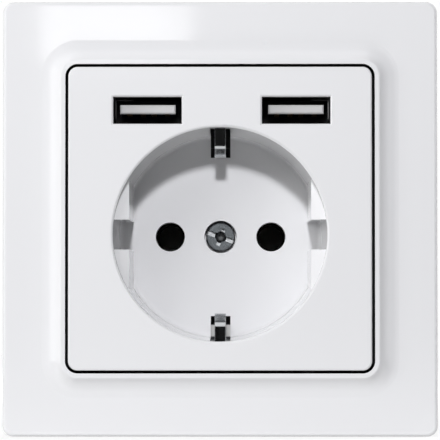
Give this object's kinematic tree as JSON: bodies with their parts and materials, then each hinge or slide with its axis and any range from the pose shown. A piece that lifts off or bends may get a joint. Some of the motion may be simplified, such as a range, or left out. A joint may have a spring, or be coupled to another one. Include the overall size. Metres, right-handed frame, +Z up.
{
  "type": "usb wall socket",
  "caption": "Flush wall socket with a round earthed plug well and twin USB charging ports in a square coved cover frame, on a steel ring with expanding claws.",
  "frame": {"origin": "centre of the wall-box screw pattern, on the wall face behind the cover frame", "axes": "+X to the right as seen from the room, +Y into the wall, +Z up; the socket's face looks along -Y"},
  "size_m": [0.08, 0.0415, 0.08],
  "materials": {
    "gloss_white": "smooth gloss moulding",
    "base_plastic": "fine matt moulding",
    "zinc_steel": "zinc plated",
    "nickel_steel": "nickel plated",
    "contact_brass": "bare stamped",
    "tongue_plastic": "moulded",
    "board_laminate": "solder resist",
    "ferrite": "ground ferrite",
    "coil_tape": "polyester tape",
    "can_sleeve": "shrink sleeve",
    "chip_epoxy": "moulded epoxy",
    "resistor_enamel": "enamel"
  },
  "bodies": {
    "socket": {"cover_frame": "gloss_white", "centre_plate": "gloss_white", "socket_base": "base_plastic", "rear_cover": "base_plastic", "support_ring": "zinc_steel", "ring_screws": "zinc_steel", "cover_screws": "zinc_steel", "left_claw_pin": "zinc_steel", "right_claw_pin": "zinc_steel", "terminal_clamps": "zinc_steel", "terminal_screws": "zinc_steel", "usb_board_screw": "zinc_steel", "charger_screws": "zinc_steel", "centre_screw": "nickel_steel", "earth_bracket": "nickel_steel", "left_usb_shell": "nickel_steel", "right_usb_shell": "nickel_steel", "line_contact": "contact_brass", "neutral_contact": "contact_brass", "left_usb_contacts": "contact_brass", "right_usb_contacts": "contact_brass", "board_link_pins": "contact_brass", "left_usb_tongue": "tongue_plastic", "right_usb_tongue": "tongue_plastic", "usb_board": "board_laminate", "charger_board": "board_laminate", "transformer_core": "ferrite", "transformer_coil": "coil_tape", "mains_capacitor": "can_sleeve", "output_capacitors": "can_sleeve", "power_chips": "chip_epoxy", "fuse_resistor": "resistor_enamel"},
    "left_claw": {"left_claw": "zinc_steel"},
    "right_claw": {"right_claw": "zinc_steel"},
    "left_claw_screw": {"left_claw_screw": "zinc_steel"},
    "right_claw_screw": {"right_claw_screw": "zinc_steel"}
  },
  "joints": [
    {"name": "left_claw_swing", "type": "hinge", "parent": "socket", "child": "left_claw", "pos_m": [-0.02512, 0.0029, 0.007], "axis": [0, 0, 1], "range_deg": [0, 20]},
    {"name": "left_claw_screw_advance", "type": "slide", "parent": "socket", "child": "left_claw_screw", "axis": [0, 1, 0], "range_m": [0, 0.00135]},
    {"name": "right_claw_swing", "type": "hinge", "parent": "socket", "child": "right_claw", "pos_m": [0.02512, 0.0029, 0.007], "axis": [0, 0, -1], "range_deg": [0, 20]},
    {"name": "right_claw_screw_advance", "type": "slide", "parent": "socket", "child": "right_claw_screw", "axis": [0, 1, 0], "range_m": [0, 0.00135]}
  ],
  "couplings": [
    {"joint": "left_claw_screw_advance", "follows": "left_claw_swing", "m_per_rad": 0.003867},
    {"joint": "right_claw_screw_advance", "follows": "right_claw_swing", "m_per_rad": 0.003867}
  ]
}
